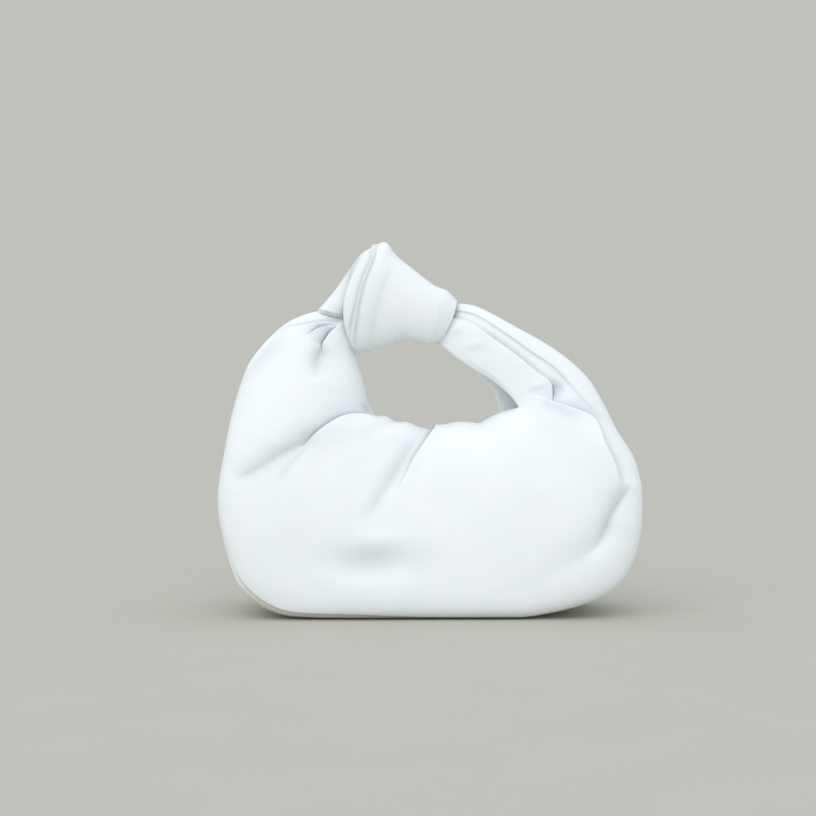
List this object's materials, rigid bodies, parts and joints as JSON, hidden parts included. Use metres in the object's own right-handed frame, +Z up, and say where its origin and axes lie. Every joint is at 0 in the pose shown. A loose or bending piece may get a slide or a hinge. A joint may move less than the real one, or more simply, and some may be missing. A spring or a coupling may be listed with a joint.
{
  "type": "knot bag",
  "caption": "Slouchy leather hobo handbag, gathered at the mouth, its horns tied in one large knot over the hand hole, with a recessed curved zip.",
  "frame": {"origin": "middle of the bag's underside, on the surface that it stands on", "axes": "+Z up, X along the bag's length with the knot on the -X side, front facing -Y"},
  "size_m": [0.3, 0.1122, 0.2689],
  "materials": {
    "white_leather": "smooth semi-matt white leather",
    "lining_cloth": "matt woven cotton",
    "zip_tape_cloth": "matt woven tape",
    "zip_coil": "satin nylon",
    "zip_metal": "polished pale gold"
  },
  "bodies": {
    "bag": {"front_panel": "white_leather", "back_panel": "white_leather", "base_panel": "white_leather", "front_facing": "white_leather", "back_facing": "white_leather", "left_zip_tab": "white_leather", "right_zip_tab": "white_leather", "front_handle_band": "white_leather", "back_handle_band": "white_leather", "knot_wrap": "white_leather", "knot_core": "white_leather", "knot_loop": "white_leather", "front_lining": "lining_cloth", "back_lining": "lining_cloth", "slip_pocket": "lining_cloth", "front_zip_tape": "zip_tape_cloth", "back_zip_tape": "zip_tape_cloth", "front_zip_teeth": "zip_coil", "back_zip_teeth": "zip_coil", "front_top_stop": "zip_metal", "back_top_stop": "zip_metal", "bottom_stop": "zip_metal"},
    "slider": {"zip_slider": "zip_metal"},
    "pull": {"zip_pull": "zip_metal"}
  },
  "joints": [
    {"name": "zip_travel", "type": "hinge", "parent": "bag", "child": "slider", "pos_m": [0.01, 0, 0.25], "axis": [0, -1, 0], "range_deg": [0, 55], "deforming": ["front_zip_teeth", "back_zip_teeth", "front_zip_tape", "back_zip_tape"]},
    {"name": "pull_swing", "type": "hinge", "parent": "slider", "child": "pull", "pos_m": [-0.03364, 0, 0.13631], "axis": [0, -1, 0], "range_deg": [0, 120]}
  ]
}
